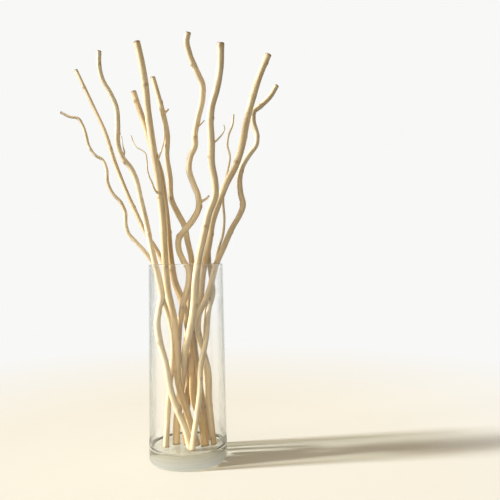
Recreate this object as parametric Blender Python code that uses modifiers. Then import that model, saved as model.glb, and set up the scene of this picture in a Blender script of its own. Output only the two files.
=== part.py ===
"""Peeled curly willow stems standing in a clear glass cylinder vase.

Metres, +Z up. The origin is the middle of the vase's underside, and the stems
fan out to the left (-X), to the right (+X) and a little to the front (-Y).
"""
import math
from collections import namedtuple

import bmesh
import bpy
from mathutils import Vector
from mathutils.geometry import interpolate_bezier

# Driving dimensions of the vase
VASE_HEIGHT = 0.250
VASE_BASE_RADIUS = 0.050
VASE_RIM_RADIUS = 0.048
VASE_WALL = 0.0025
VASE_FLOOR = 0.018
HEEL_ROUND = 0.003
WELL_ROUND = 0.004
VASE_STEPS = 48

# A stem's cut end stands this far above the glass floor, found in a few rounds
REST_GAP = 0.0003
SEATING_ROUNDS = 5

# Rings along a stem are at most this far apart
RING_SPACING = 0.014
THICK_SIDES_RESOLUTION = 2
THIN_SIDES_RESOLUTION = 1
THIN_DIAMETER = 0.0076
WELD_DISTANCE = 0.00001

# Stem routes are written in millimetres, from the foot up to the cut tip
MILLIMETRE = 0.001

STEM_COLLECTION = "willow_stems_in_vase"
JOIN_COLLECTION = "joined_twigs"

PEELED_WILLOW = {"colour": (0.72, 0.55, 0.34, 1.0), "roughness": 0.62, "transmission": 0.0}
CLEAR_GLASS = {"colour": (0.86, 0.90, 0.84, 1.0), "roughness": 0.03, "transmission": 1.0}

Twig = namedtuple("Twig", "root_diameter tip_diameter route")
Stem = namedtuple("Stem", "name foot_diameter tip_diameter foot route twigs")

STEMS = [
    Stem(
        "stem_left_curled", 0.0076, 0.0036, (-28, -14),
        [
            (-26, -12, 52), (-23, -9, 92), (-19, -7, 127), (-19, -6, 157), (-24, -4, 181),
            (-31, -3, 204), (-37, -1, 230), (-43, 0, 251), (-51, 1, 264), (-64, 2, 279),
            (-74, 3, 291), (-77, 3, 302), (-78, 5, 319), (-84, 6, 332), (-93, 7, 342),
            (-100, 8, 357), (-102, 11, 376), (-108, 13, 389), (-115, 13, 393),
            (-125, 16, 407), (-129, 18, 422), (-134, 21, 436), (-140, 22, 445),
            (-150, 23, 447), (-162, 24, 453),
        ],
        [],
    ),
    Stem(
        "stem_left_slender", 0.0066, 0.0052, (2, 33),
        [
            (-1, 33, 38), (-5, 33, 65), (-12, 32, 93), (-13, 32, 120), (-13, 31, 147),
            (-17, 31, 174), (-24, 30, 201), (-28, 28, 234), (-31, 27, 249), (-39, 27, 269),
            (-51, 28, 288), (-70, 32, 328), (-92, 38, 382), (-110, 46, 437),
            (-124, 52, 468), (-150, 64, 524),
        ],
        [],
    ),
    Stem(
        "stem_left_bowed", 0.0084, 0.0061, (3, -28),
        [
            (-3, -27, 43), (-13, -26, 68), (-21, -25, 93), (-26, -24, 123), (-34, -23, 157),
            (-36, -22, 176), (-34, -20, 193), (-31, -17, 211), (-33, -16, 224),
            (-39, -13, 250), (-44, -12, 272), (-49, -10, 299), (-57, -9, 335),
            (-63, -8, 361), (-69, -7, 374), (-79, -7, 387), (-85, -6, 405), (-85, -5, 430),
            (-87, -4, 454), (-94, -4, 471), (-104, -3, 489), (-108, -3, 508), (-108, -2, 526),
        ],
        [Twig(0.0022, 0.0012, [(-79, -7, 387), (-77, -4, 395), (-79, -2, 403), (-81, 1, 417)])],
    ),
    Stem(
        "stem_short_thick", 0.0098, 0.0076, (21, -24),
        [
            (17, -15, 50), (8, -12, 76), (6, -11, 101), (5, -9, 139), (1, -5, 170),
            (-7, -3, 203), (-15, -3, 225), (-19, -3, 250), (-24, 1, 305), (-27, 4, 334),
            (-33, 8, 374), (-42, 11, 401), (-52, 16, 436), (-62, 20, 465), (-67, 22, 482),
        ],
        [],
    ),
    Stem(
        "stem_tall_straight", 0.0083, 0.0086, (12, -16),
        [
            (5, -18, 40), (-2, -19, 66), (-12, -19, 103), (-12, -20, 140), (-16, -20, 179),
            (-23, -20, 216), (-26, -20, 250), (-29, -20, 311), (-33, -21, 353),
            (-40, -22, 402), (-45, -22, 439), (-48, -24, 473), (-52, -25, 501), (-58, -26, 530),
        ],
        [
            Twig(
                0.0026, 0.0014,
                [
                    (-31, -21, 337), (-38, -26, 344), (-41, -28, 352), (-44, -29, 359),
                    (-46, -30, 366), (-47, -30, 380), (-49, -30, 389), (-54, -29, 393),
                    (-60, -28, 397), (-63, -27, 402), (-66, -27, 411),
                ],
            ),
            Twig(0.0024, 0.0014, [(-36, -22, 374), (-32, -25, 385), (-28, -27, 396),
                                  (-25, -29, 408), (-25, -30, 421)]),
        ],
    ),
    Stem(
        "stem_middle_back", 0.0084, 0.0069, (-1, -14),
        [
            (-4, -9, 35), (-1, -3, 68), (0, 2, 99), (0, 6, 144), (4, 6, 202), (8, 4, 239),
            (7, 4, 256), (2, 6, 281), (-2, 8, 301), (-10, 10, 317), (-18, 12, 335),
            (-20, 15, 365), (-24, 19, 394), (-23, 23, 424), (-29, 27, 456), (-37, 31, 488),
            (-42, 34, 506),
        ],
        [Twig(0.0032, 0.0024, [(-29, 27, 453), (-26, 26, 456), (-21, 24, 460)])],
    ),
    Stem(
        "stem_middle_looped", 0.0082, 0.0072, (-16, 20),
        [
            (-14, 19, 52), (-10, 17, 80), (-12, 12, 104), (-11, -3, 149), (-9, -11, 172),
            (-4, -14, 199), (3, -14, 225), (3, -14, 241), (-4, -14, 255), (-9, -15, 268),
            (-8, -16, 284), (-2, -17, 292), (10, -19, 307), (17, -20, 322), (16, -22, 337),
            (11, -23, 350), (5, -26, 371), (7, -27, 385), (13, -29, 399), (13, -31, 412),
            (17, -34, 432), (23, -38, 458), (23, -41, 473), (17, -44, 486), (7, -49, 509),
            (4, -52, 522), (6, -54, 532),
        ],
        [
            Twig(0.0032, 0.0024, [(16, -20, 326), (22, -22, 330), (26, -23, 332), (30, -25, 336)]),
            Twig(0.0022, 0.0012, [(14, -32, 420), (20, -35, 424), (25, -37, 429)]),
        ],
    ),
    Stem(
        "stem_front_thick", 0.0094, 0.0086, (-15, -10),
        [
            (-15, -8, 36), (-11, -7, 72), (-6, -9, 108), (-2, -19, 141), (4, -25, 167),
            (9, -28, 198), (11, -29, 226), (15, -30, 253), (23, -33, 288), (29, -35, 313),
            (37, -38, 335), (37, -39, 351), (33, -42, 375), (33, -45, 396), (32, -49, 430),
            (34, -51, 444), (39, -53, 461), (44, -57, 488), (45, -62, 517),
        ],
        [Twig(0.0024, 0.0013, [(33, -45, 398), (37, -46, 400), (42, -49, 404),
                               (47, -51, 410), (49, -53, 415), (48, -54, 419)])],
    ),
    Stem(
        "stem_right_tall", 0.0090, 0.0089, (27, 3),
        [
            (20, 3, 61), (12, 3, 116), (9, 3, 150), (13, 1, 176), (18, -2, 203),
            (22, -5, 238), (30, -8, 277), (35, -10, 306), (44, -12, 331), (53, -14, 353),
            (66, -16, 378), (73, -17, 399), (80, -19, 433), (87, -21, 460), (97, -24, 491),
            (109, -26, 519),
        ],
        [],
    ),
    Stem(
        "stem_right_zigzag", 0.0080, 0.0072, (32, -14),
        [
            (30, -13, 37), (27, -12, 75), (26, -12, 113), (20, -12, 138), (14, -15, 164),
            (15, -15, 181), (25, -13, 204), (32, -10, 223), (39, -8, 249), (49, -8, 271),
            (61, -8, 297), (70, -8, 312), (75, -8, 325), (72, -8, 342), (71, -8, 359),
            (75, -8, 377), (84, -8, 392), (94, -8, 407), (95, -8, 415), (90, -8, 440),
            (91, -8, 449), (100, -8, 457), (114, -6, 471), (123, -4, 486),
        ],
        [],
    ),
    Stem(
        "stem_right_thin", 0.0048, 0.0028, (31, 22),
        [
            (27, 20, 54), (24, 19, 94), (22, 17, 134), (23, 16, 161), (28, 14, 201),
            (36, 12, 235), (42, 12, 265), (50, 15, 290), (52, 17, 310), (51, 20, 332),
            (52, 23, 350), (58, 27, 376), (62, 30, 397), (59, 34, 415), (61, 36, 428),
            (67, 39, 444), (69, 42, 459),
        ],
        [],
    ),
    Stem(
        "stem_short_front", 0.0072, 0.0064, (4, -37),
        [
            (6, -34, 33), (10, -30, 56), (15, -26, 92), (16, -24, 116), (24, -19, 153),
            (29, -6, 190), (35, 0, 211), (33, 2, 228), (30, 3, 252), (29, 4, 284),
        ],
        [],
    ),
]


def clear_scene():
    for scene_object in list(bpy.data.objects):
        bpy.data.objects.remove(scene_object, do_unlink=True)


def new_collection(name):
    collection = bpy.data.collections.new(name)
    bpy.context.scene.collection.children.link(collection)
    return collection


def new_material(name, look):
    material = bpy.data.materials.new(name)
    material.use_nodes = True
    shader = material.node_tree.nodes["Principled BSDF"]
    shader.inputs["Base Color"].default_value = look["colour"]
    shader.inputs["Roughness"].default_value = look["roughness"]
    shader.inputs["Metallic"].default_value = 0.0
    shader.inputs["Transmission Weight"].default_value = look["transmission"]
    material.diffuse_color = look["colour"]
    return material


def in_metres(point):
    return Vector(point) * MILLIMETRE


def smooth_curve(knots):
    """Points on one smooth curve through the knots, closer together where they are."""
    tangents = []
    for before, knot, after in zip(knots[:1] + knots, knots, knots[1:] + knots[-1:]):
        step_in = knot - before
        step_out = after - knot
        blend = step_in.normalized() * step_out.length + step_out.normalized() * step_in.length
        if blend.length == 0.0:
            blend = step_in + step_out
        tangents.append(blend.normalized())
    points = [knots[0]]
    for index in range(len(knots) - 1):
        start, end = knots[index], knots[index + 1]
        reach = (end - start).length / 3.0
        pieces = math.ceil((end - start).length / RING_SPACING)
        handle_out = start + tangents[index] * reach
        handle_in = end - tangents[index + 1] * reach
        points += interpolate_bezier(start, handle_out, handle_in, end, pieces + 1)[1:]
    return points


def seat_foot(points, radius):
    """Raise the foot's centre so that the low edge of its leaning cut end clears the glass."""
    foot, above = points[0], points[1]
    sideways = math.hypot(above.x - foot.x, above.y - foot.y)
    for _ in range(SEATING_ROUNDS):
        lean = math.atan2(sideways, above.z - foot.z)
        foot.z = VASE_FLOOR + REST_GAP + radius * math.sin(lean)


def tapered_tube(name, points, start_diameter, end_diameter, collection):
    """A closed round tube that tapers evenly along its length."""
    travelled = [0.0]
    for before, after in zip(points, points[1:]):
        travelled.append(travelled[-1] + (after - before).length)
    curve = bpy.data.curves.new(name, "CURVE")
    curve.dimensions = "3D"
    curve.bevel_depth = start_diameter / 2.0
    thick = start_diameter > THIN_DIAMETER
    curve.bevel_resolution = THICK_SIDES_RESOLUTION if thick else THIN_SIDES_RESOLUTION
    curve.use_fill_caps = True
    spline = curve.splines.new("POLY")
    spline.points.add(len(points) - 1)
    for spline_point, point, distance in zip(spline.points, points, travelled):
        spline_point.co = (*point, 1.0)
        share = distance / travelled[-1]
        spline_point.radius = 1.0 + (end_diameter / start_diameter - 1.0) * share
    tube = bpy.data.objects.new(name, curve)
    collection.objects.link(tube)
    return curve_to_mesh(tube, collection)


def evaluated_mesh(source):
    bpy.context.view_layer.update()
    return bpy.data.meshes.new_from_object(source.evaluated_get(bpy.context.evaluated_depsgraph_get()))


def curve_to_mesh(tube, collection):
    """The tube as a mesh object whose end caps are welded on."""
    name = tube.name
    mesh = evaluated_mesh(tube)
    shape = bmesh.new()
    shape.from_mesh(mesh)
    bmesh.ops.remove_doubles(shape, verts=shape.verts, dist=WELD_DISTANCE)
    shape.to_mesh(mesh)
    shape.free()
    solid = bpy.data.objects.new(name + "_solid", mesh)
    solid.matrix_world = tube.matrix_world
    collection.objects.link(solid)
    bpy.data.objects.remove(tube)
    solid.name = name
    return solid


def fuse_twigs(stem_object, twigs, joins):
    """Side twigs, rooted on the stem's centre line, grown into one body with it."""
    for number, twig in enumerate(twigs, start=1):
        points = smooth_curve([in_metres(point) for point in twig.route])
        name = f"{stem_object.name}_twig_{number}"
        tube = tapered_tube(name, points, twig.root_diameter, twig.tip_diameter, joins)
        tube.hide_render = True
        tube.display_type = "WIRE"
    union = stem_object.modifiers.new("grown_twigs", "BOOLEAN")
    union.operation = "UNION"
    union.operand_type = "COLLECTION"
    union.collection = joins
    union.solver = "EXACT"
    fused = evaluated_mesh(stem_object)
    stem_object.modifiers.clear()
    stem_object.data = fused
    for twig_object in list(joins.objects):
        bpy.data.objects.remove(twig_object)


def build_stem(stem, collection, joins):
    foot = in_metres((*stem.foot, 0))
    foot.z = VASE_FLOOR + REST_GAP
    points = smooth_curve([foot] + [in_metres(point) for point in stem.route])
    seat_foot(points, stem.foot_diameter / 2.0)
    solid = tapered_tube(stem.name, points, stem.foot_diameter, stem.tip_diameter, collection)
    if stem.twigs:
        fuse_twigs(solid, stem.twigs, joins)
    solid.data.materials.clear()
    solid.data.materials.append(new_material(f"peeled_willow_{stem.name}", PEELED_WILLOW))
    solid.data.shade_smooth()
    solid.data.set_sharp_from_angle(angle=math.radians(50.0))
    return solid


def arc(centre_x, centre_z, radius, start_degrees, end_degrees, pieces):
    """Points on a round corner of the vase's profile."""
    corner = []
    for index in range(pieces + 1):
        turn = start_degrees + (end_degrees - start_degrees) * index / pieces
        angle = math.radians(turn)
        corner.append((centre_x + radius * math.cos(angle), centre_z + radius * math.sin(angle)))
    return corner


def vase_profile():
    """Half section from the middle of the inner floor, over the rim, to the underside."""
    inner_base = VASE_BASE_RADIUS - VASE_WALL
    half_wall = VASE_WALL / 2.0
    profile = [(0.0, VASE_FLOOR)]
    profile += arc(inner_base - WELL_ROUND, VASE_FLOOR + WELL_ROUND, WELL_ROUND, -90, 0, 3)
    profile += arc(VASE_RIM_RADIUS - half_wall, VASE_HEIGHT - half_wall, half_wall, 180, 0, 4)
    profile += arc(VASE_BASE_RADIUS - HEEL_ROUND, HEEL_ROUND, HEEL_ROUND, 0, -90, 3)
    profile.append((0.0, 0.0))
    return profile


def build_vase(collection):
    """A thick-floored glass cylinder, turned from its half section."""
    profile = vase_profile()
    mesh = bpy.data.meshes.new("vase")
    edges = [(index, index + 1) for index in range(len(profile) - 1)]
    mesh.from_pydata([(x, 0.0, z) for x, z in profile], edges, [])
    vase = bpy.data.objects.new("vase", mesh)
    collection.objects.link(vase)
    turn = vase.modifiers.new("turned_glass", "SCREW")
    turn.axis = "Z"
    turn.steps = VASE_STEPS
    turn.render_steps = VASE_STEPS
    turn.use_merge_vertices = True
    turn.merge_threshold = 0.00005
    turn.use_smooth_shade = True
    mesh.materials.append(new_material("clear_glass", CLEAR_GLASS))
    return vase


def main():
    clear_scene()
    model = new_collection(STEM_COLLECTION)
    joins = new_collection(JOIN_COLLECTION)
    build_vase(model)
    for stem in STEMS:
        build_stem(stem, model, joins)


main()
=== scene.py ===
"""The finish of the peeled willow stems and their clear glass cylinder vase."""
import math

import bpy
from mathutils import Matrix, Vector, kdtree, noise
from mathutils.geometry import interpolate_bezier


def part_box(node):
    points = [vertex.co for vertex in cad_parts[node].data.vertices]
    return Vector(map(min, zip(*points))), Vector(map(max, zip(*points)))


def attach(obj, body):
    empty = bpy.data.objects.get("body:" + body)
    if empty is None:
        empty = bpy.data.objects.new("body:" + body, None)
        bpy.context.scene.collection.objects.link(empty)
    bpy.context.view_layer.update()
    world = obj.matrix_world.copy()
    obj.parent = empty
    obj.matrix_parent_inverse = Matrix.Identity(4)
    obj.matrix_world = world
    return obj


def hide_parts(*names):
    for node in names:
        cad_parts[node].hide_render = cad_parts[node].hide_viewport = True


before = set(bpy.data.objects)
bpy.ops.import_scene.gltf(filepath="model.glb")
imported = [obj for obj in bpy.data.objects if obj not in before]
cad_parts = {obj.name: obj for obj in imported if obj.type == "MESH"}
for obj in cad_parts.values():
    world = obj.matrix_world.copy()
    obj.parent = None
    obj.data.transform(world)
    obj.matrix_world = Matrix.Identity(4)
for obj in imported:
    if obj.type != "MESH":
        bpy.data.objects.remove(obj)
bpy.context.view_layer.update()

# The vase, in metres, as its solid has it
VASE_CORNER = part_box("vase")[1]
VASE_HEIGHT = VASE_CORNER.z
VASE_BASE_RADIUS = VASE_CORNER.x
VASE_RIM_RADIUS = 0.048
VASE_WALL = 0.0025
VASE_FLOOR = 0.018
VASE_STEPS = 160
VASE_CREASE = math.radians(35.0)
HEEL_ROUND = 0.003
WELL_ROUND = 0.004
RIM_ROUND = 0.0011
ROUND_STEPS = 8
RIM_STEPS = 6
EDGE_FIND = 0.0002

# How finely the stems are made, in metres
MILLIMETRE = 0.001
STEM_SIDES = 28
TWIG_SIDES = 16
STEM_RING = 0.0013
TWIG_RING = 0.0010
STEM_CREASE = math.radians(50.0)
WELD_DISTANCE = 0.00001

# The gap under each foot, and the shares of its radius that its lean and its cut's edge add
REST_GAP = 0.0003
FOOT_LEAN = 1.15
FOOT_EDGE = 0.15

# How the wood has grown: heights as shares of the stem's radius, lengths in metres.
# Each stem and twig has its own seed, and each pattern reads its own line of the noise.
FIRST_SEED = 0.37
SEED_STEP = 1.13
SWELL = 0.045
SWELL_LENGTH = 0.035
OVALITY = 0.035
OVAL_TWIST = 3.0
OVAL_TWIST_LENGTH = 0.09
OVAL_LINE = 5.0
RIDGE = 0.03
RIDGE_LENGTH = 0.018
RIDGE_TIGHTNESS = 1.6
SCAR_HEIGHT = 0.16
SCAR_LENGTH = 0.0022
SCAR_SPREAD = math.radians(38.0)
SCAR_SPACING = 0.046
SCAR_WANDER = 0.012
SCAR_WANDER_STEP = 1.7
SCAR_LINE = 9.0
SCAR_TURN = math.radians(144.0)
SCAR_RING = 0.03
SCAR_RING_TIGHTNESS = 0.8
TWIG_COLLAR = 0.7
TWIG_COLLAR_LENGTH = 0.0045

# Cut ends, as shares of the stem's diameter
CUT_EDGE = 0.07
CUT_EDGE_RISE = 0.05
CUT_FACE = 0.28
PITH_EDGE = 0.05
PITH_DEPTH = 0.06

# How far and how strongly the cut ends and the scars show, and how far up and how strongly the
# painted bounce light shows
TIP_CUT_REACH = 0.7
FOOT_CUT_REACH = 0.5
CUT_STAIN = 0.95
SCAR_STAIN = 0.6
# Painted bounce light: a honey tone that grows toward the feet, for the golden shade between the
# stems inside the vase
FOOT_PAINTED_BOUNCE = 1.60
FOOT_PAINTED_BOUNCE_REACH = 0.30

# How far apart in the wood's pattern two stems lie, and how many centre points are tried
GRAIN_SHIFT = 3.0
NEAR_POINTS = 4

# Which sockets of a Mix node take and give colours, and which take plain numbers
COLOUR_A, COLOUR_B, MIXED_COLOUR = 6, 7, 2
NUMBER_A, NUMBER_B, MIXED_NUMBER = 2, 3, 0

# Peeled willow: colours from its duller to its cleaner patches, sizes in metres, how much
# fine detail each pattern has, and the range of the pattern over which each thing shows
PATTERN_ROUGHNESS = 0.55
PALE_SKIN = [(0.28, "#c7ba9e"), (0.48, "#d6cdb4"), (0.72, "#e3dcc8")]
# The honey colours give the warmer stems their own tone, and also carry the painted bounce light
# toward the feet
HONEY_SKIN_AND_PAINTED_BOUNCE = [(0.28, "#b58d4d"), (0.48, "#cda968"), (0.72, "#dfc48d")]
PATCH_SIZE = (0.005, 0.005, 0.045)
PATCH_DETAIL = 2.0
FIBRE_COLOUR = "#c8b592"
FIBRE_SIZE = (0.0007, 0.0007, 0.020)
FIBRE_DETAIL = 3.0
FIBRE_SHOWS = {"From Min": 0.30, "From Max": 0.70, "To Max": 0.40}
FIBRE_RELIEF = {"Strength": 0.22, "Distance": 0.00016}
FLECK_COLOUR = "#7e5c36"
FLECK_SIZE = (0.0011, 0.0011, 0.0030)
FLECK_DETAIL = 1.0
FLECK_SHOWS = {"From Min": 0.70, "From Max": 0.78, "To Max": 0.55}
SCAR_COLOUR = "#8f6c43"
CUT_COLOUR = "#7a6445"
DULL_TO_CLEAN = {"From Min": 0.30, "From Max": 0.70, "To Min": 0.64, "To Max": 0.50}
DRY_WOOD_GLOSS = {"Specular IOR Level": 0.42, "Sheen Weight": 0.10, "Sheen Roughness": 0.45}

# Clear glass: marks of its making in metres, and how it takes the light at a slant, from
# 0 head on to 1 edge on
GLASS_IOR = 1.50
GLASS_TINT = "#e2e4d7"
GLASS_TINT_DENSITY = 10.0
DRAW_MARK_SIZE = (0.014, 0.014, 0.062)
SWIRL_SIZE = (0.050, 0.050, 0.0045)
SWIRL_DEPTH = 14.0
GLASS_DETAIL = 1.0
GLASS_RELIEF = {"Strength": 0.06, "Distance": 0.0006}
WALL_SHOWS = {"From Min": VASE_FLOOR + 0.002, "From Max": VASE_FLOOR + 0.010}
LAMP_CLEAR = "#fbfcfa"
LAMP_AT_EDGE = "#a9a294"
LAMP_LOSS = {"From Min": 0.35, "From Max": 1.0}
PALE_EDGE = {"From Min": 0.45, "From Max": 0.85, "To Max": 0.80}

# The camera, set where the photograph was taken from
CAMERA_PLACE = (0.0, -0.700, 0.2504)
CAMERA_LEVEL = math.radians(90.0)
CAMERA_TURN = math.radians(6.87)
CAMERA_TILT = math.radians(1.35)
CAMERA_ROLL = math.radians(0.91)
CAMERA_LENS = 38.31
CAMERA_NEAR = 0.01
CAMERA_FAR = 50.0

# The floor: cream paper that fades to the bright sweep, in metres from the vase
BACKDROP_COLOUR = "#f8f8f7"
FLOOR_COLOUR = "#b7b3a8"
FLOOR_GLOSS = {"Roughness": 0.75, "Specular IOR Level": 0.25}
FLOOR_RADIUS = 8.0
FLOOR_STEPS = 128
FLOOR_FADE = {"From Min": 0.30, "From Max": 0.95}

# The room in the glass: it turns cream overhead and darker on the left
CEILING_COLOUR = "#ece0c2"
CEILING_SHOWS = {"From Min": 0.12, "From Max": 0.50}
SIDE_TONE = {"From Min": -0.8, "From Max": 0.5, "To Min": 0.44, "To Max": 1.0}

# The lights
KEY_COLOUR = "#f9fcff"
KEY_STRENGTH = 8.0
KEY_SPREAD = math.radians(5.0)
KEY_SIDE = math.radians(-90.0)
KEY_HEIGHT = math.radians(32.0)
KEY_DISTANCE = 1.8
FILL_COLOUR = "#fff0da"
FILL_LOW = 0.11
FILL_FRONT_LEFT = {"From Min": 0.35, "From Max": 1.0, "To Min": FILL_LOW, "To Max": 1.56}
FILL_OVERHEAD = {"From Min": 0.3, "From Max": 1.0, "To Max": 0.65}
FILL_TOWARDS = (-0.72, -0.65, 0.25)
REFLECTOR_COLOUR = "#fff8ee"
REFLECTOR_POWER = 92.0
REFLECTOR_PLACE = (-1.50, -0.50, 0.40)
REFLECTOR_AIM = (0.0, 0.0, 0.11)
REFLECTOR_SIZE = 0.15
REFLECTOR_CONE = math.radians(11.0)

# Diameters are in metres, and routes in millimetres as the solids have them.
# Each stem: foot diameter, tip diameter, warmth of its tone, route from the foot on the
# glass floor up to the cut tip, and its twigs.
# Each twig: root diameter, tip diameter, route from inside the stem outwards.
STEMS = {
    "stem_left_curled": (
        0.0076, 0.0036, 0.15,
        [
            (-28, -14, 18.3), (-26, -12, 52), (-23, -9, 92), (-19, -7, 127), (-19, -6, 157),
            (-24, -4, 181), (-31, -3, 204), (-37, -1, 230), (-43, 0, 251), (-51, 1, 264),
            (-64, 2, 279), (-74, 3, 291), (-77, 3, 302), (-78, 5, 319), (-84, 6, 332),
            (-93, 7, 342), (-100, 8, 357), (-102, 11, 376), (-108, 13, 389), (-115, 13, 393),
            (-125, 16, 407), (-129, 18, 422), (-134, 21, 436), (-140, 22, 445),
            (-150, 23, 447), (-162, 24, 453),
        ],
        [],
    ),
    "stem_left_slender": (
        0.0066, 0.0052, 0.30,
        [
            (2, 33, 18.3), (-1, 33, 38), (-5, 33, 65), (-12, 32, 93), (-13, 32, 120),
            (-13, 31, 147), (-17, 31, 174), (-24, 30, 201), (-28, 28, 234), (-31, 27, 249),
            (-39, 27, 269), (-51, 28, 288), (-70, 32, 328), (-92, 38, 382), (-110, 46, 437),
            (-124, 52, 468), (-150, 64, 524),
        ],
        [],
    ),
    "stem_left_bowed": (
        0.0084, 0.0061, 0.10,
        [
            (3, -28, 18.3), (-3, -27, 43), (-13, -26, 68), (-21, -25, 93), (-26, -24, 123),
            (-34, -23, 157), (-36, -22, 176), (-34, -20, 193), (-31, -17, 211), (-33, -16, 224),
            (-39, -13, 250), (-44, -12, 272), (-49, -10, 299), (-57, -9, 335),
            (-63, -8, 361), (-69, -7, 374), (-79, -7, 387), (-85, -6, 405), (-85, -5, 430),
            (-87, -4, 454), (-94, -4, 471), (-104, -3, 489), (-108, -3, 508), (-108, -2, 526),
        ],
        [(0.0022, 0.0012, [(-79, -7, 387), (-77, -4, 395), (-79, -2, 403), (-81, 1, 417)])],
    ),
    "stem_short_thick": (
        0.0098, 0.0076, 0.50,
        [
            (21, -24, 18.3), (17, -15, 50), (8, -12, 76), (6, -11, 101), (5, -9, 139),
            (1, -5, 170), (-7, -3, 203), (-15, -3, 225), (-19, -3, 250), (-24, 1, 305),
            (-27, 4, 334), (-33, 8, 374), (-42, 11, 401), (-52, 16, 436), (-62, 20, 465),
            (-67, 22, 482),
        ],
        [],
    ),
    "stem_tall_straight": (
        0.0083, 0.0086, 0.34,
        [
            (12, -16, 18.3), (5, -18, 40), (-2, -19, 66), (-12, -19, 103), (-12, -20, 140),
            (-16, -20, 179), (-23, -20, 216), (-26, -20, 250), (-29, -20, 311), (-33, -21, 353),
            (-40, -22, 402), (-45, -22, 439), (-48, -24, 473), (-52, -25, 501), (-58, -26, 530),
        ],
        [
            (
                0.0026, 0.0014,
                [
                    (-31, -21, 337), (-38, -26, 344), (-41, -28, 352), (-44, -29, 359),
                    (-46, -30, 366), (-47, -30, 380), (-49, -30, 389), (-54, -29, 393),
                    (-60, -28, 397), (-63, -27, 402), (-66, -27, 411),
                ],
            ),
            (0.0024, 0.0014, [(-36, -22, 374), (-32, -25, 385), (-28, -27, 396),
                              (-25, -29, 408), (-25, -30, 421)]),
        ],
    ),
    "stem_middle_back": (
        0.0084, 0.0069, 0.35,
        [
            (-1, -14, 18.3), (-4, -9, 35), (-1, -3, 68), (0, 2, 99), (0, 6, 144), (4, 6, 202),
            (8, 4, 239), (7, 4, 256), (2, 6, 281), (-2, 8, 301), (-10, 10, 317), (-18, 12, 335),
            (-20, 15, 365), (-24, 19, 394), (-23, 23, 424), (-29, 27, 456), (-37, 31, 488),
            (-42, 34, 506),
        ],
        [(0.0032, 0.0024, [(-29, 27, 453), (-26, 26, 456), (-21, 24, 460)])],
    ),
    "stem_middle_looped": (
        0.0082, 0.0072, 0.30,
        [
            (-16, 20, 18.3), (-14, 19, 52), (-10, 17, 80), (-12, 12, 104), (-11, -3, 149),
            (-9, -11, 172), (-4, -14, 199), (3, -14, 225), (3, -14, 241), (-4, -14, 255),
            (-9, -15, 268), (-8, -16, 284), (-2, -17, 292), (10, -19, 307), (17, -20, 322),
            (16, -22, 337), (11, -23, 350), (5, -26, 371), (7, -27, 385), (13, -29, 399),
            (13, -31, 412), (17, -34, 432), (23, -38, 458), (23, -41, 473), (17, -44, 486),
            (7, -49, 509), (4, -52, 522), (6, -54, 532),
        ],
        [
            (0.0032, 0.0024, [(16, -20, 326), (22, -22, 330), (26, -23, 332), (30, -25, 336)]),
            (0.0022, 0.0012, [(14, -32, 420), (20, -35, 424), (25, -37, 429)]),
        ],
    ),
    "stem_front_thick": (
        0.0094, 0.0086, 0.27,
        [
            (-15, -10, 18.3), (-15, -8, 36), (-11, -7, 72), (-6, -9, 108), (-2, -19, 141),
            (4, -25, 167), (9, -28, 198), (11, -29, 226), (15, -30, 253), (23, -33, 288),
            (29, -35, 313), (37, -38, 335), (37, -39, 351), (33, -42, 375), (33, -45, 396),
            (32, -49, 430), (34, -51, 444), (39, -53, 461), (44, -57, 488), (45, -62, 517),
        ],
        [(0.0024, 0.0013, [(33, -45, 398), (37, -46, 400), (42, -49, 404),
                           (47, -51, 410), (49, -53, 415), (48, -54, 419)])],
    ),
    "stem_right_tall": (
        0.0090, 0.0089, 0.40,
        [
            (27, 3, 18.3), (20, 3, 61), (12, 3, 116), (9, 3, 150), (13, 1, 176), (18, -2, 203),
            (22, -5, 238), (30, -8, 277), (35, -10, 306), (44, -12, 331), (53, -14, 353),
            (66, -16, 378), (73, -17, 399), (80, -19, 433), (87, -21, 460), (97, -24, 491),
            (109, -26, 519),
        ],
        [],
    ),
    "stem_right_zigzag": (
        0.0080, 0.0072, 0.25,
        [
            (32, -14, 18.3), (30, -13, 37), (27, -12, 75), (26, -12, 113), (20, -12, 138),
            (14, -15, 164), (15, -15, 181), (25, -13, 204), (32, -10, 223), (39, -8, 249),
            (49, -8, 271), (61, -8, 297), (70, -8, 312), (75, -8, 325), (72, -8, 342),
            (71, -8, 359), (75, -8, 377), (84, -8, 392), (94, -8, 407), (95, -8, 415),
            (90, -8, 440), (91, -8, 449), (100, -8, 457), (114, -6, 471), (123, -4, 486),
        ],
        [],
    ),
    "stem_right_thin": (
        0.0048, 0.0028, 0.20,
        [
            (31, 22, 18.3), (27, 20, 54), (24, 19, 94), (22, 17, 134), (23, 16, 161),
            (28, 14, 201), (36, 12, 235), (42, 12, 265), (50, 15, 290), (52, 17, 310),
            (51, 20, 332), (52, 23, 350), (58, 27, 376), (62, 30, 397), (59, 34, 415),
            (61, 36, 428), (67, 39, 444), (69, 42, 459),
        ],
        [],
    ),
    "stem_short_front": (
        0.0072, 0.0064, 0.15,
        [
            (4, -37, 18.3), (6, -34, 33), (10, -30, 56), (15, -26, 92), (16, -24, 116),
            (24, -19, 153), (29, -6, 190), (35, 0, 211), (33, 2, 228), (30, 3, 252), (29, 4, 284),
        ],
        [],
    ),
}


def linear(hex_colour):
    """An sRGB hex colour as the linear values that a shader takes."""
    values = [int(hex_colour[start:start + 2], 16) / 255.0 for start in (1, 3, 5)]
    values = [v / 12.92 if v <= 0.04045 else ((v + 0.055) / 1.055) ** 2.4 for v in values]
    return (*values, 1.0)


def add_node(tree, kind, inputs=None, **settings):
    """A node with its settings, and with each input given a value or a link."""
    made = tree.nodes.new(kind)
    for name, value in settings.items():
        setattr(made, name, value)
    for socket, value in (inputs or {}).items():
        if isinstance(value, bpy.types.NodeSocket):
            tree.links.new(value, made.inputs[socket])
        else:
            made.inputs[socket].default_value = value
    return made


def new_material(name):
    material = bpy.data.materials.new(name)
    material.use_nodes = True
    material.node_tree.nodes.clear()
    return material, material.node_tree


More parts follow.
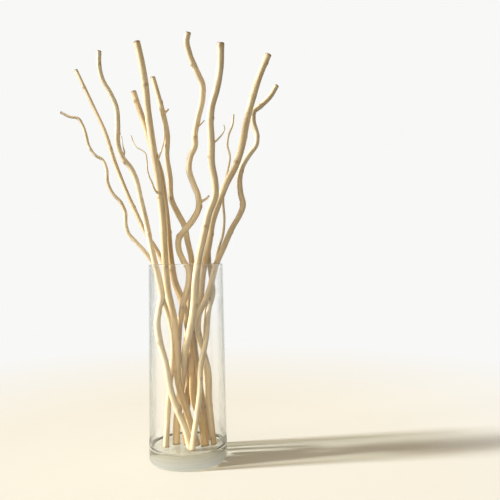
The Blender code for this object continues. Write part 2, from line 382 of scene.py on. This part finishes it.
def pattern_of_size(tree, place, size, detail):
    """A soft random pattern whose features have the given real size along x, y and z."""
    scale = tuple(1.0 / length for length in size)
    stretched = add_node(
        tree, "ShaderNodeVectorMath", {0: place, 1: scale}, operation="MULTIPLY"
    ).outputs["Vector"]
    return add_node(
        tree, "ShaderNodeTexNoise",
        {
            "Vector": stretched, "Scale": 1.0, "Detail": detail,
            "Roughness": PATTERN_ROUGHNESS,
        },
    ).outputs["Fac"]


def skin_tones(tree, patches, stops):
    """The skin's colours in the broad patches, from (place, sRGB colour) stops."""
    ramp = add_node(tree, "ShaderNodeValToRGB", {"Fac": patches})
    elements = ramp.color_ramp.elements
    while len(elements) < len(stops):
        elements.new(0.5)
    for element, (place, hex_colour) in zip(elements, stops):
        element.position = place
        element.color = linear(hex_colour)
    return ramp.outputs["Color"]


def marked_skin(tree, skin, grain, scar, cut):
    """The skin with the brown flecks that the bark has left, leaf scars and cut ends."""
    flecks = pattern_of_size(tree, grain, FLECK_SIZE, FLECK_DETAIL)
    fleck = add_node(tree, "ShaderNodeMapRange", {"Value": flecks, **FLECK_SHOWS})
    for share, hex_colour in (
        (fleck.outputs["Result"], FLECK_COLOUR), (scar, SCAR_COLOUR), (cut, CUT_COLOUR)
    ):
        skin = add_node(
            tree, "ShaderNodeMix",
            {"Factor": share, COLOUR_A: skin, COLOUR_B: linear(hex_colour)},
            data_type="RGBA",
        ).outputs[MIXED_COLOUR]
    return skin


def peeled_willow():
    """Peeled, bleached willow: a silky pale skin with fine lengthwise grain, honey patches,
    small brown leaf scars and greyer cut ends, with painted bounce light: a honey tone toward the
    feet."""
    material, tree = new_material("peeled_willow")
    grain = add_node(tree, "ShaderNodeAttribute", attribute_name="grain").outputs["Vector"]
    marks = add_node(tree, "ShaderNodeAttribute", attribute_name="marks").outputs["Vector"]
    marks = add_node(tree, "ShaderNodeSeparateXYZ", {"Vector": marks})
    scar, cut, warmth = marks.outputs["X"], marks.outputs["Y"], marks.outputs["Z"]

    # Broad patches where the bleach took more or less
    patches = pattern_of_size(tree, grain, PATCH_SIZE, PATCH_DETAIL)
    # The warmth mixes in the honey colours: each stem's own tone, and painted bounce light that
    # grows toward the feet
    skin = add_node(
        tree, "ShaderNodeMix",
        {
            "Factor": warmth,
            COLOUR_A: skin_tones(tree, patches, PALE_SKIN),
            COLOUR_B: skin_tones(tree, patches, HONEY_SKIN_AND_PAINTED_BOUNCE),
        },
        data_type="RGBA",
    ).outputs[MIXED_COLOUR]

    # Lengthwise fibres, drawn twice as wide as real ones so that they show
    fibres = pattern_of_size(tree, grain, FIBRE_SIZE, FIBRE_DETAIL)
    fibre = add_node(tree, "ShaderNodeMapRange", {"Value": fibres, **FIBRE_SHOWS})
    skin = add_node(
        tree, "ShaderNodeMix",
        {
            "Factor": fibre.outputs["Result"],
            COLOUR_A: skin, COLOUR_B: linear(FIBRE_COLOUR),
        },
        data_type="RGBA", blend_type="MULTIPLY",
    ).outputs[MIXED_COLOUR]
    relief = add_node(tree, "ShaderNodeBump", {"Height": fibres, **FIBRE_RELIEF})

    # Dry wood is matt, and a little silkier where the skin is clean
    roughness = add_node(tree, "ShaderNodeMapRange", {"Value": patches, **DULL_TO_CLEAN})
    shader = add_node(
        tree, "ShaderNodeBsdfPrincipled",
        {
            "Base Color": marked_skin(tree, skin, grain, scar, cut),
            "Roughness": roughness.outputs["Result"],
            "Normal": relief.outputs["Normal"],
            **DRY_WOOD_GLOSS,
        },
    )
    add_node(tree, "ShaderNodeOutputMaterial", {"Surface": shader.outputs["BSDF"]})
    return material


def glass_relief(tree, place, in_wall):
    """Faint lengthwise draw marks in the wall, and flat swirls in the thick floor."""
    draw_marks = pattern_of_size(tree, place, DRAW_MARK_SIZE, GLASS_DETAIL)
    swirls = pattern_of_size(tree, place, SWIRL_SIZE, GLASS_DETAIL)
    swirls = add_node(
        tree, "ShaderNodeMath", {0: swirls, 1: SWIRL_DEPTH}, operation="MULTIPLY"
    ).outputs["Value"]
    height = add_node(
        tree, "ShaderNodeMix", {"Factor": in_wall, NUMBER_A: swirls, NUMBER_B: draw_marks}
    ).outputs[MIXED_NUMBER]
    relief = add_node(tree, "ShaderNodeBump", {"Height": height, **GLASS_RELIEF})
    return relief.outputs["Normal"]


def lamp_light_through_glass(tree, slant, for_lamps):
    """What lamps send through the glass: nearly all head on, and less at a slant."""
    slanted = add_node(tree, "ShaderNodeMapRange", {"Value": slant, **LAMP_LOSS})
    loss = add_node(
        tree, "ShaderNodeMath", {0: slanted.outputs["Result"], 1: for_lamps},
        operation="MULTIPLY",
    ).outputs["Value"]
    colour = add_node(
        tree, "ShaderNodeMix",
        {"Factor": loss, COLOUR_A: linear(LAMP_CLEAR), COLOUR_B: linear(LAMP_AT_EDGE)},
        data_type="RGBA",
    ).outputs[MIXED_COLOUR]
    return add_node(tree, "ShaderNodeBsdfTransparent", {"Color": colour}).outputs["BSDF"]


def straight_through(tree, slant, rays, in_wall):
    """How much goes straight through the glass: all soft light, and the wall's pale edges."""
    edge = add_node(tree, "ShaderNodeMapRange", {"Value": slant, **PALE_EDGE})
    pale_edge = add_node(
        tree, "ShaderNodeMath", {0: edge.outputs["Result"], 1: in_wall},
        operation="MULTIPLY",
    ).outputs["Value"]
    soft_light = add_node(
        tree, "ShaderNodeMath",
        {0: rays.outputs["Is Shadow Ray"], 1: rays.outputs["Is Diffuse Ray"]},
        operation="MAXIMUM",
    ).outputs["Value"]
    return add_node(
        tree, "ShaderNodeMath", {0: soft_light, 1: pale_edge}, operation="MAXIMUM"
    ).outputs["Value"]


def clear_glass():
    """Clear blown soda-lime glass: polished, colourless in the thin wall, where its slanted
    edges stay pale, and faintly grey-green through the thick floor."""
    material, tree = new_material("clear_glass")
    place = add_node(tree, "ShaderNodeTexCoord").outputs["Object"]
    height = add_node(tree, "ShaderNodeSeparateXYZ", {"Vector": place}).outputs["Z"]
    in_wall = add_node(
        tree, "ShaderNodeMapRange", {"Value": height, **WALL_SHOWS}
    ).outputs["Result"]
    glass = add_node(
        tree, "ShaderNodeBsdfPrincipled",
        {
            "Base Color": (1.0, 1.0, 1.0, 1.0),
            "Roughness": 0.0,
            "IOR": GLASS_IOR,
            "Transmission Weight": 1.0,
            "Normal": glass_relief(tree, place, in_wall),
        },
    ).outputs["BSDF"]
    rays = add_node(tree, "ShaderNodeLightPath")
    slant = add_node(tree, "ShaderNodeLayerWeight").outputs["Facing"]
    surface = add_node(
        tree, "ShaderNodeMixShader",
        {
            0: straight_through(tree, slant, rays, in_wall),
            1: glass,
            2: lamp_light_through_glass(tree, slant, rays.outputs["Is Shadow Ray"]),
        },
    )
    tint = add_node(
        tree, "ShaderNodeVolumeAbsorption",
        {"Color": linear(GLASS_TINT), "Density": GLASS_TINT_DENSITY},
    )
    add_node(
        tree, "ShaderNodeOutputMaterial",
        {"Surface": surface.outputs["Shader"], "Volume": tint.outputs["Volume"]},
    )
    return material


def studio_paper():
    """Matt cream paper near the vase that fades to the bright studio sweep further out."""
    material, tree = new_material("studio_paper")
    place = add_node(tree, "ShaderNodeTexCoord").outputs["Object"]
    distance = add_node(tree, "ShaderNodeVectorMath", {0: place}, operation="LENGTH")
    fade = add_node(
        tree, "ShaderNodeMapRange", {"Value": distance.outputs["Value"], **FLOOR_FADE}
    )
    paper = add_node(
        tree, "ShaderNodeBsdfPrincipled", {"Base Color": linear(FLOOR_COLOUR), **FLOOR_GLOSS}
    )
    rays = add_node(tree, "ShaderNodeLightPath")
    glow = add_node(
        tree, "ShaderNodeMapRange",
        {"Value": rays.outputs["Is Diffuse Ray"], "To Min": 1.0, "To Max": FILL_LOW},
    )
    sweep = add_node(
        tree, "ShaderNodeEmission",
        {"Color": linear(BACKDROP_COLOUR), "Strength": glow.outputs["Result"]},
    )
    surface = add_node(
        tree, "ShaderNodeMixShader",
        {
            0: fade.outputs["Result"],
            1: paper.outputs["BSDF"],
            2: sweep.outputs["Emission"],
        },
    )
    add_node(tree, "ShaderNodeOutputMaterial", {"Surface": surface.outputs["Shader"]})
    return material


def deselect_all():
    if bpy.context.object is not None and bpy.context.object.mode != "OBJECT":
        bpy.ops.object.mode_set(mode="OBJECT")
    bpy.ops.object.select_all(action="DESELECT")


def make_active(piece):
    deselect_all()
    piece.select_set(True)
    bpy.context.view_layer.objects.active = piece


def smooth_curve(knots, spacing):
    """Points on one smooth curve through the knots, at most the given spacing apart."""
    tangents = []
    for before, knot, after in zip(knots[:1] + knots, knots, knots[1:] + knots[-1:]):
        step_in = knot - before
        step_out = after - knot
        blend = step_in.normalized() * step_out.length + step_out.normalized() * step_in.length
        if blend.length == 0.0:
            blend = step_in + step_out
        tangents.append(blend.normalized())
    points = [knots[0]]
    for index in range(len(knots) - 1):
        start, end = knots[index], knots[index + 1]
        reach = (end - start).length / 3.0
        pieces = math.ceil((end - start).length / spacing)
        handle_out = start + tangents[index] * reach
        handle_in = end - tangents[index + 1] * reach
        points += interpolate_bezier(start, handle_out, handle_in, end, pieces + 1)[1:]
    return points


def distances_along(points):
    travelled = [0.0]
    for before, after in zip(points, points[1:]):
        travelled.append(travelled[-1] + (after - before).length)
    return travelled


def stem_frames(points):
    """Each point with its distance along the stem and two directions square to it."""
    across = Vector((1.0, 0.0, 0.0))
    frames = []
    for index, (point, along) in enumerate(zip(points, distances_along(points))):
        ahead = points[min(index + 1, len(points) - 1)] - points[max(index - 1, 0)]
        ahead.normalize()
        across = (across - ahead * across.dot(ahead)).normalized()
        frames.append((point, along, across.copy(), ahead.cross(across)))
    return frames


def stem_relief(along, angle, seed):
    """How far the skin stands out at a place on the stem, as a share of its radius,
    and how strongly a leaf scar marks it."""
    swell = noise.noise(Vector((seed, 0.0, along / SWELL_LENGTH)))
    twist = noise.noise(Vector((seed, OVAL_LINE, along / OVAL_TWIST_LENGTH))) * OVAL_TWIST
    around = Vector((math.cos(angle), math.sin(angle), 0.0)) * RIDGE_TIGHTNESS
    ridge = noise.noise(around + Vector((0.0, seed, along / RIDGE_LENGTH)))
    relief = SWELL * swell + OVALITY * math.cos(2.0 * (angle - twist)) + RIDGE * ridge

    number = round(along / SCAR_SPACING)
    wander = noise.noise(Vector((seed, SCAR_LINE, number * SCAR_WANDER_STEP))) * SCAR_WANDER
    off_along = (along - number * SCAR_SPACING - wander) / SCAR_LENGTH
    off_angle = (angle - seed - number * SCAR_TURN + math.pi) % (2.0 * math.pi) - math.pi
    scar = math.exp(-off_along ** 2 - (off_angle / SCAR_SPREAD) ** 2)
    ring = math.exp(-(off_along * SCAR_RING_TIGHTNESS) ** 2)
    return relief + SCAR_HEIGHT * scar + SCAR_RING * ring, scar


def tube(name, points, diameters, sides, seed, is_twig):
    """A closed round tube along the points, with the relief of grown wood and cut ends."""
    travelled = distances_along(points)
    length = travelled[-1]
    start_diameter, end_diameter = diameters
    bpy.ops.curve.primitive_bezier_curve_add(location=(0.0, 0.0, 0.0))
    piece = bpy.context.object
    piece.name = name
    curve = piece.data
    curve.splines.clear()
    curve.dimensions = "3D"
    curve.bevel_depth = 1.0
    # Blender gives a bevel of this resolution twice as many sides, and four more
    curve.bevel_resolution = (sides - 4) // 2
    spline = curve.splines.new("POLY")
    spline.points.add(len(points) - 1)
    for spline_point, point, distance in zip(spline.points, points, travelled):
        share = distance / length
        radius = (start_diameter + (end_diameter - start_diameter) * share) / 2.0
        if is_twig:
            collar = math.exp(-(distance - start_diameter) / TWIG_COLLAR_LENGTH)
            radius *= 1.0 + TWIG_COLLAR * collar
        spline_point.co = (*point, 1.0)
        spline_point.radius = radius
    make_active(piece)
    bpy.ops.object.convert(target="MESH")
    piece = bpy.context.object
    carve_relief(piece, points, seed)
    cut_ends(piece, end_diameter)
    return piece


def carve_relief(piece, points, seed):
    """Moves each ring of skin in or out by the stem's relief."""
    vertices = piece.data.vertices
    sides = len(vertices) // len(points)
    for ring, (centre, along, across, over) in enumerate(stem_frames(points)):
        for vertex in vertices[ring * sides:(ring + 1) * sides]:
            offset = vertex.co - centre
            angle = math.atan2(offset.dot(over), offset.dot(across))
            stand_out, _ = stem_relief(along, angle, seed)
            vertex.co = centre + offset * (1.0 + stand_out)


def cut_ends(piece, diameter):
    """Closes both ends with a clean cut: a softened edge, flat end grain and a pith dent."""
    make_active(piece)
    bpy.ops.object.mode_set(mode="EDIT")
    bpy.ops.mesh.select_mode(type="EDGE")
    bpy.ops.mesh.select_all(action="SELECT")
    bpy.ops.mesh.remove_doubles(threshold=WELD_DISTANCE)
    bpy.ops.mesh.select_all(action="SELECT")
    bpy.ops.mesh.fill_holes(sides=0)
    bpy.ops.mesh.select_mode(type="FACE")
    bpy.ops.mesh.select_all(action="DESELECT")
    bpy.ops.object.mode_set(mode="OBJECT")
    # Only the two new caps have more than four corners
    for polygon in piece.data.polygons:
        polygon.select = len(polygon.vertices) > 4
    bpy.ops.object.mode_set(mode="EDIT")
    for width, rise in ((CUT_EDGE, CUT_EDGE_RISE), (CUT_FACE, 0.0), (PITH_EDGE, -PITH_DEPTH)):
        bpy.ops.mesh.inset(
            thickness=diameter * width, depth=diameter * rise, use_individual=True
        )
    bpy.ops.mesh.poke()
    bpy.ops.mesh.select_all(action="SELECT")
    bpy.ops.mesh.normals_make_consistent(inside=False)
    bpy.ops.object.mode_set(mode="OBJECT")


def grow_twigs(stem, twigs, seed):
    """Makes each twig and joins it to the stem as one body. Returns the twigs' centre lines."""
    lines = []
    for number, (root_diameter, tip_diameter, route) in enumerate(twigs, start=1):
        knots = [Vector(point) * MILLIMETRE for point in route]
        points = smooth_curve(knots, TWIG_RING)
        twig = tube(
            f"{stem.name}_twig_{number}", points, (root_diameter, tip_diameter),
            TWIG_SIDES, seed + number, True,
        )
        make_active(stem)
        join = stem.modifiers.new("grown_twig", "BOOLEAN")
        join.operation = "UNION"
        join.solver = "EXACT"
        join.object = twig
        bpy.ops.object.modifier_apply(modifier=join.name)
        bpy.data.objects.remove(twig)
        lines.append((points, root_diameter, tip_diameter, seed + number))
    return lines


def centre_points(lines):
    """Every centre point of a stem and its twigs, and a tree that finds the near ones."""
    samples = []
    for line_number, (points, start_diameter, end_diameter, seed) in enumerate(lines):
        frames = stem_frames(points)
        length = frames[-1][1]
        for point, along, across, over in frames:
            radius = (start_diameter + (end_diameter - start_diameter) * along / length) / 2.0
            samples.append(
                (point, along, across, over, radius, length - along, seed, line_number)
            )
    tree = kdtree.KDTree(len(samples))
    for index, (point, *_) in enumerate(samples):
        tree.insert(point, index)
    tree.balance()
    return samples, tree


def write_marks(stem, lines, warmth):
    """Stores on each point its straightened place in the wood, for the grain, how much
    of a leaf scar and of a cut end it has, and its tone: the stem's own warmth, made warmer
    toward the feet by painted bounce light."""
    samples, tree = centre_points(lines)
    radii = [sample[4] for sample in samples]
    mesh = stem.data
    grain = mesh.attributes.new("grain", "FLOAT_VECTOR", "POINT")
    marks = mesh.attributes.new("marks", "FLOAT_VECTOR", "POINT")
    for vertex in mesh.vertices:
        near = tree.find_n(vertex.co, NEAR_POINTS)
        _, index, _ = min(near, key=lambda hit: hit[2] / radii[hit[1]])
        point, along, across, over, radius, to_end, seed, line_number = samples[index]
        offset = vertex.co - point
        side, up = offset.dot(across), offset.dot(over)
        angle = math.atan2(up, side)
        _, scar = stem_relief(along, angle, seed)
        cut = max(0.0, 1.0 - to_end / (radius * TIP_CUT_REACH))
        if line_number == 0:
            cut = max(cut, 1.0 - along / (radius * FOOT_CUT_REACH))
        # Painted bounce light: the tone grows warmer toward the feet, for the golden shade
        # between the stems inside the vase
        foot = max(0.0, 1.0 - vertex.co.z / FOOT_PAINTED_BOUNCE_REACH)
        tone = min(1.0, warmth * (1.0 + FOOT_PAINTED_BOUNCE * foot))
        grain.data[vertex.index].vector = (side + seed, up, along + seed * GRAIN_SHIFT)
        marks.data[vertex.index].vector = (
            scar * SCAR_STAIN, min(cut, 1.0) * CUT_STAIN, tone
        )


def seat_foot(points, radius):
    """Shortens the foot until the low edge of its leaning cut end clears the glass."""
    foot, above = points[0], points[int(radius / STEM_RING) + 2]
    lean = math.atan2(math.hypot(above.x - foot.x, above.y - foot.y), above.z - foot.z)
    lift = VASE_FLOOR + REST_GAP + radius * (math.sin(lean) * FOOT_LEAN + FOOT_EDGE)
    while points[0].z < lift:
        points.pop(0)


def make_stem(name, number, material):
    """One stem with its twigs, seated in the vase, in place of its solid."""
    foot_diameter, tip_diameter, warmth, route, twigs = STEMS[name]
    seed = FIRST_SEED + SEED_STEP * number
    knots = [Vector(point) * MILLIMETRE for point in route]
    points = smooth_curve(knots, STEM_RING)
    seat_foot(points, foot_diameter / 2.0)
    stem = tube(name + "_wood", points, (foot_diameter, tip_diameter), STEM_SIDES, seed, False)
    lines = [(points, foot_diameter, tip_diameter, seed)]
    lines += grow_twigs(stem, twigs, seed)
    write_marks(stem, lines, warmth)
    stem.data.materials.clear()
    stem.data.materials.append(material)
    make_active(stem)
    bpy.ops.object.shade_smooth_by_angle(angle=STEM_CREASE)
    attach(stem, "root")
    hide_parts(name)


def select_edges(piece, wanted):
    """Selects the edges whose two ends both pass the test."""
    bpy.ops.object.mode_set(mode="EDIT")
    bpy.ops.mesh.select_mode(type="EDGE")
    bpy.ops.mesh.select_all(action="DESELECT")
    bpy.ops.object.mode_set(mode="OBJECT")
    points = piece.data.vertices
    for edge in piece.data.edges:
        edge.select = all(wanted(points[index].co) for index in edge.vertices)
    bpy.ops.object.mode_set(mode="EDIT")


def bevel_ring(piece, radius, height, width, segments):
    """Rounds the ring of edges at this radius and height."""

    def on_ring(place):
        at_radius = abs(math.hypot(place.x, place.y) - radius) < EDGE_FIND
        return at_radius and abs(place.z - height) < EDGE_FIND

    select_edges(piece, on_ring)
    bpy.ops.mesh.bevel(offset=width, segments=segments, profile=0.5, affect="EDGES")
    bpy.ops.object.mode_set(mode="OBJECT")


def hollow_out(vase, inner_rim, inner_floor):
    """Sinks the top, inside the wall, down to the thick floor, which is a little wider."""
    for polygon in vase.data.polygons:
        polygon.select = polygon.center.z > VASE_HEIGHT - WELD_DISTANCE
    bpy.ops.object.mode_set(mode="EDIT")
    bpy.ops.mesh.select_mode(type="FACE")
    bpy.ops.mesh.inset(thickness=VASE_WALL, depth=0.0)
    drop = VASE_FLOOR - VASE_HEIGHT
    bpy.ops.mesh.extrude_region_move(TRANSFORM_OT_translate={"value": (0.0, 0.0, drop)})
    grown = inner_floor / inner_rim
    bpy.ops.transform.resize(value=(grown, grown, 1.0), center_override=(0.0, 0.0, VASE_FLOOR))
    bpy.ops.object.mode_set(mode="OBJECT")


def make_vase(material):
    """A glass cylinder, widened to its base, hollowed down to its thick floor."""
    deselect_all()
    bpy.ops.mesh.primitive_cylinder_add(
        vertices=VASE_STEPS, radius=VASE_RIM_RADIUS, depth=VASE_HEIGHT,
        location=(0.0, 0.0, VASE_HEIGHT / 2.0),
    )
    vase = bpy.context.object
    vase.name = "vase_blown_glass"
    bpy.ops.object.transform_apply(location=True, rotation=True, scale=True)
    widening = VASE_BASE_RADIUS / VASE_RIM_RADIUS
    for vertex in vase.data.vertices:
        if vertex.co.z < VASE_HEIGHT / 2.0:
            vertex.co.x *= widening
            vertex.co.y *= widening
    inner_rim = VASE_RIM_RADIUS - VASE_WALL
    taper = (VASE_BASE_RADIUS - VASE_RIM_RADIUS) * (VASE_HEIGHT - VASE_FLOOR) / VASE_HEIGHT
    inner_floor = inner_rim + taper
    hollow_out(vase, inner_rim, inner_floor)
    bevel_ring(vase, inner_floor, VASE_FLOOR, WELL_ROUND, ROUND_STEPS)
    bevel_ring(vase, VASE_BASE_RADIUS, 0.0, HEEL_ROUND, ROUND_STEPS)
    bevel_ring(vase, VASE_RIM_RADIUS, VASE_HEIGHT, RIM_ROUND, RIM_STEPS)
    bevel_ring(vase, inner_rim, VASE_HEIGHT, RIM_ROUND, RIM_STEPS)
    vase.data.materials.append(material)
    make_active(vase)
    bpy.ops.object.shade_smooth_by_angle(angle=VASE_CREASE)
    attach(vase, "root")
    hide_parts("vase")


def make_camera():
    bpy.ops.object.camera_add(location=CAMERA_PLACE)
    camera = bpy.context.object
    camera.name = "photo_camera"
    camera.data.lens = CAMERA_LENS
    camera.data.clip_start = CAMERA_NEAR
    camera.data.clip_end = CAMERA_FAR
    aim = (
        Matrix.Rotation(-CAMERA_TURN, 4, "Z")
        @ Matrix.Rotation(CAMERA_LEVEL + CAMERA_TILT, 4, "X")
        @ Matrix.Rotation(-CAMERA_ROLL, 4, "Z")
    )
    camera.rotation_euler = aim.to_euler()
    bpy.context.scene.camera = camera


def make_floor():
    deselect_all()
    bpy.ops.mesh.primitive_circle_add(
        vertices=FLOOR_STEPS, radius=FLOOR_RADIUS, fill_type="NGON",
        location=(0.0, 0.0, -REST_GAP),
    )
    floor = bpy.context.object
    floor.name = "studio_floor"
    floor.data.materials.append(studio_paper())


def make_key_light():
    """The key light from the left: far away and even, with a soft edge to its shadows."""
    towards_key = Vector((
        math.cos(KEY_HEIGHT) * math.sin(KEY_SIDE),
        -math.cos(KEY_HEIGHT) * math.cos(KEY_SIDE),
        math.sin(KEY_HEIGHT),
    ))
    bpy.ops.object.light_add(type="SUN", location=towards_key * KEY_DISTANCE)
    key = bpy.context.object
    key.name = "key_light"
    key.data.energy = KEY_STRENGTH
    key.data.angle = KEY_SPREAD
    key.data.color = linear(KEY_COLOUR)[:3]
    key.rotation_euler = towards_key.to_track_quat("Z", "Y").to_euler()


def make_reflector():
    """A reflector that throws some light on the lower stems, through the vase."""
    bpy.ops.object.light_add(type="SPOT", location=REFLECTOR_PLACE)
    reflector = bpy.context.object
    reflector.name = "reflector_on_vase"
    reflector.data.energy = REFLECTOR_POWER
    reflector.data.shadow_soft_size = REFLECTOR_SIZE
    reflector.data.spot_size = REFLECTOR_CONE
    reflector.data.spot_blend = 1.0
    reflector.data.color = linear(REFLECTOR_COLOUR)[:3]
    reflector.visible_glossy = False
    aim = Vector(REFLECTOR_AIM) - Vector(REFLECTOR_PLACE)
    reflector.rotation_euler = aim.to_track_quat("-Z", "Y").to_euler()


def fill_light(tree, direction, up):
    """The dim warm light all round, brighter from above and from the front left."""
    front_left = add_node(
        tree, "ShaderNodeVectorMath", {0: direction, 1: FILL_TOWARDS}, operation="DOT_PRODUCT"
    )
    front = add_node(
        tree, "ShaderNodeMapRange", {"Value": front_left.outputs["Value"], **FILL_FRONT_LEFT}
    )
    above = add_node(tree, "ShaderNodeMapRange", {"Value": up, **FILL_OVERHEAD})
    strength = add_node(
        tree, "ShaderNodeMath", {0: front.outputs["Result"], 1: above.outputs["Result"]},
        operation="ADD",
    )
    return add_node(
        tree, "ShaderNodeBackground",
        {"Color": linear(FILL_COLOUR), "Strength": strength.outputs["Value"]},
    ).outputs["Background"]


def mirrored_room(tree, right, up):
    """The room that the glass mirrors and bends: darker on the left and cream overhead."""
    ceiling = add_node(tree, "ShaderNodeMapRange", {"Value": up, **CEILING_SHOWS})
    colour = add_node(
        tree, "ShaderNodeMix",
        {
            "Factor": ceiling.outputs["Result"],
            COLOUR_A: linear(BACKDROP_COLOUR), COLOUR_B: linear(CEILING_COLOUR),
        },
        data_type="RGBA",
    ).outputs[MIXED_COLOUR]
    side = add_node(tree, "ShaderNodeMapRange", {"Value": right, **SIDE_TONE})
    return add_node(
        tree, "ShaderNodeBackground", {"Color": colour, "Strength": side.outputs["Result"]}
    ).outputs["Background"]


def make_room():
    """The room round the set: an even backdrop, what the glass mirrors, and the fill light."""
    world = bpy.data.worlds.new("studio")
    world.use_nodes = True
    tree = world.node_tree
    tree.nodes.clear()
    bpy.context.scene.world = world
    rays = add_node(tree, "ShaderNodeLightPath")
    direction = add_node(tree, "ShaderNodeTexCoord").outputs["Generated"]
    parts = add_node(tree, "ShaderNodeSeparateXYZ", {"Vector": direction})
    right, up = parts.outputs["X"], parts.outputs["Z"]
    backdrop = add_node(
        tree, "ShaderNodeBackground", {"Color": linear(BACKDROP_COLOUR), "Strength": 1.0}
    )
    seen = add_node(
        tree, "ShaderNodeMixShader",
        {
            0: rays.outputs["Is Camera Ray"],
            1: mirrored_room(tree, right, up),
            2: backdrop.outputs["Background"],
        },
    )
    shown = add_node(
        tree, "ShaderNodeMixShader",
        {
            0: rays.outputs["Is Diffuse Ray"],
            1: seen.outputs["Shader"],
            2: fill_light(tree, direction, up),
        },
    )
    add_node(tree, "ShaderNodeOutputWorld", {"Surface": shown.outputs["Shader"]})
    bpy.context.scene.view_settings.view_transform = "Standard"


make_camera()
deselect_all()
willow = peeled_willow()
for stem_number, stem_name in enumerate(STEMS):
    make_stem(stem_name, stem_number, willow)
make_vase(clear_glass())
make_floor()
make_key_light()
make_reflector()
make_room()
